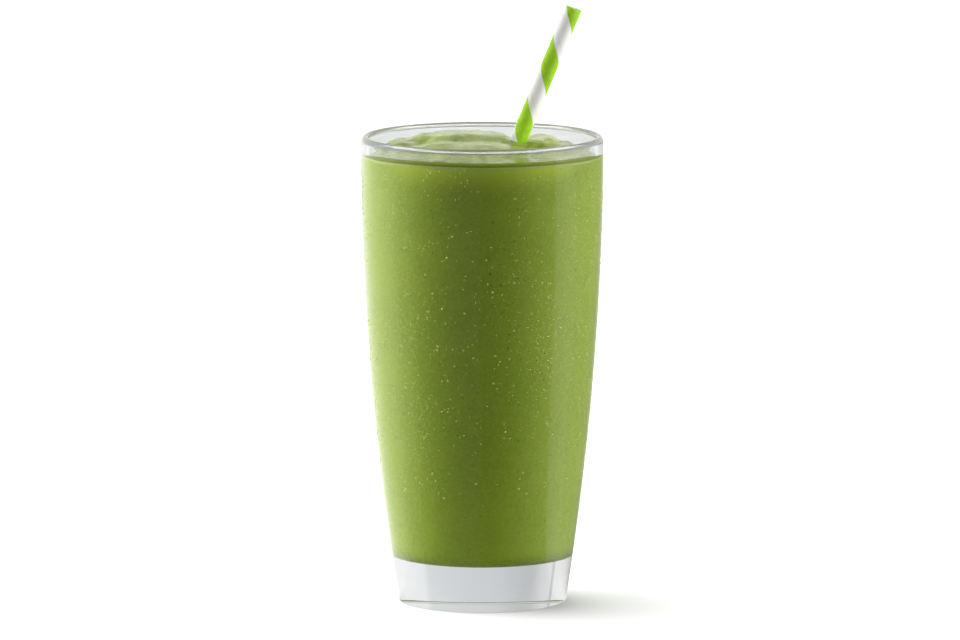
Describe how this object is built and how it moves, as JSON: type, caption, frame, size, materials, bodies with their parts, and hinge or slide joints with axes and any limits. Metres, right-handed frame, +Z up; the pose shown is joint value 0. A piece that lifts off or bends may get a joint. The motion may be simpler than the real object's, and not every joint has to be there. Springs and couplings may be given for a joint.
{
  "type": "glass of green smoothie",
  "caption": "Tall clear tumbler with a thick base, filled to the rim with thick green smoothie heaped on top, and a leaning striped paper straw.",
  "frame": {"origin": "centre of the foot's bottom face, on the surface the glass stands on", "axes": "+Z up along the glass's axis, the straw leans to +X, and the side that faces the viewer is -Y"},
  "size_m": [0.087, 0.087, 0.2157],
  "materials": {
    "glass": "clear, polished, with cold condensation on the outside",
    "smoothie": "wet, thick blended fruit and leaf drink with darker flecks",
    "straw": "matte white paper with a broad spiral green stripe"
  },
  "bodies": {
    "root": {"glass": "glass", "smoothie": "smoothie", "straw": "straw"}
  },
  "joints": []
}
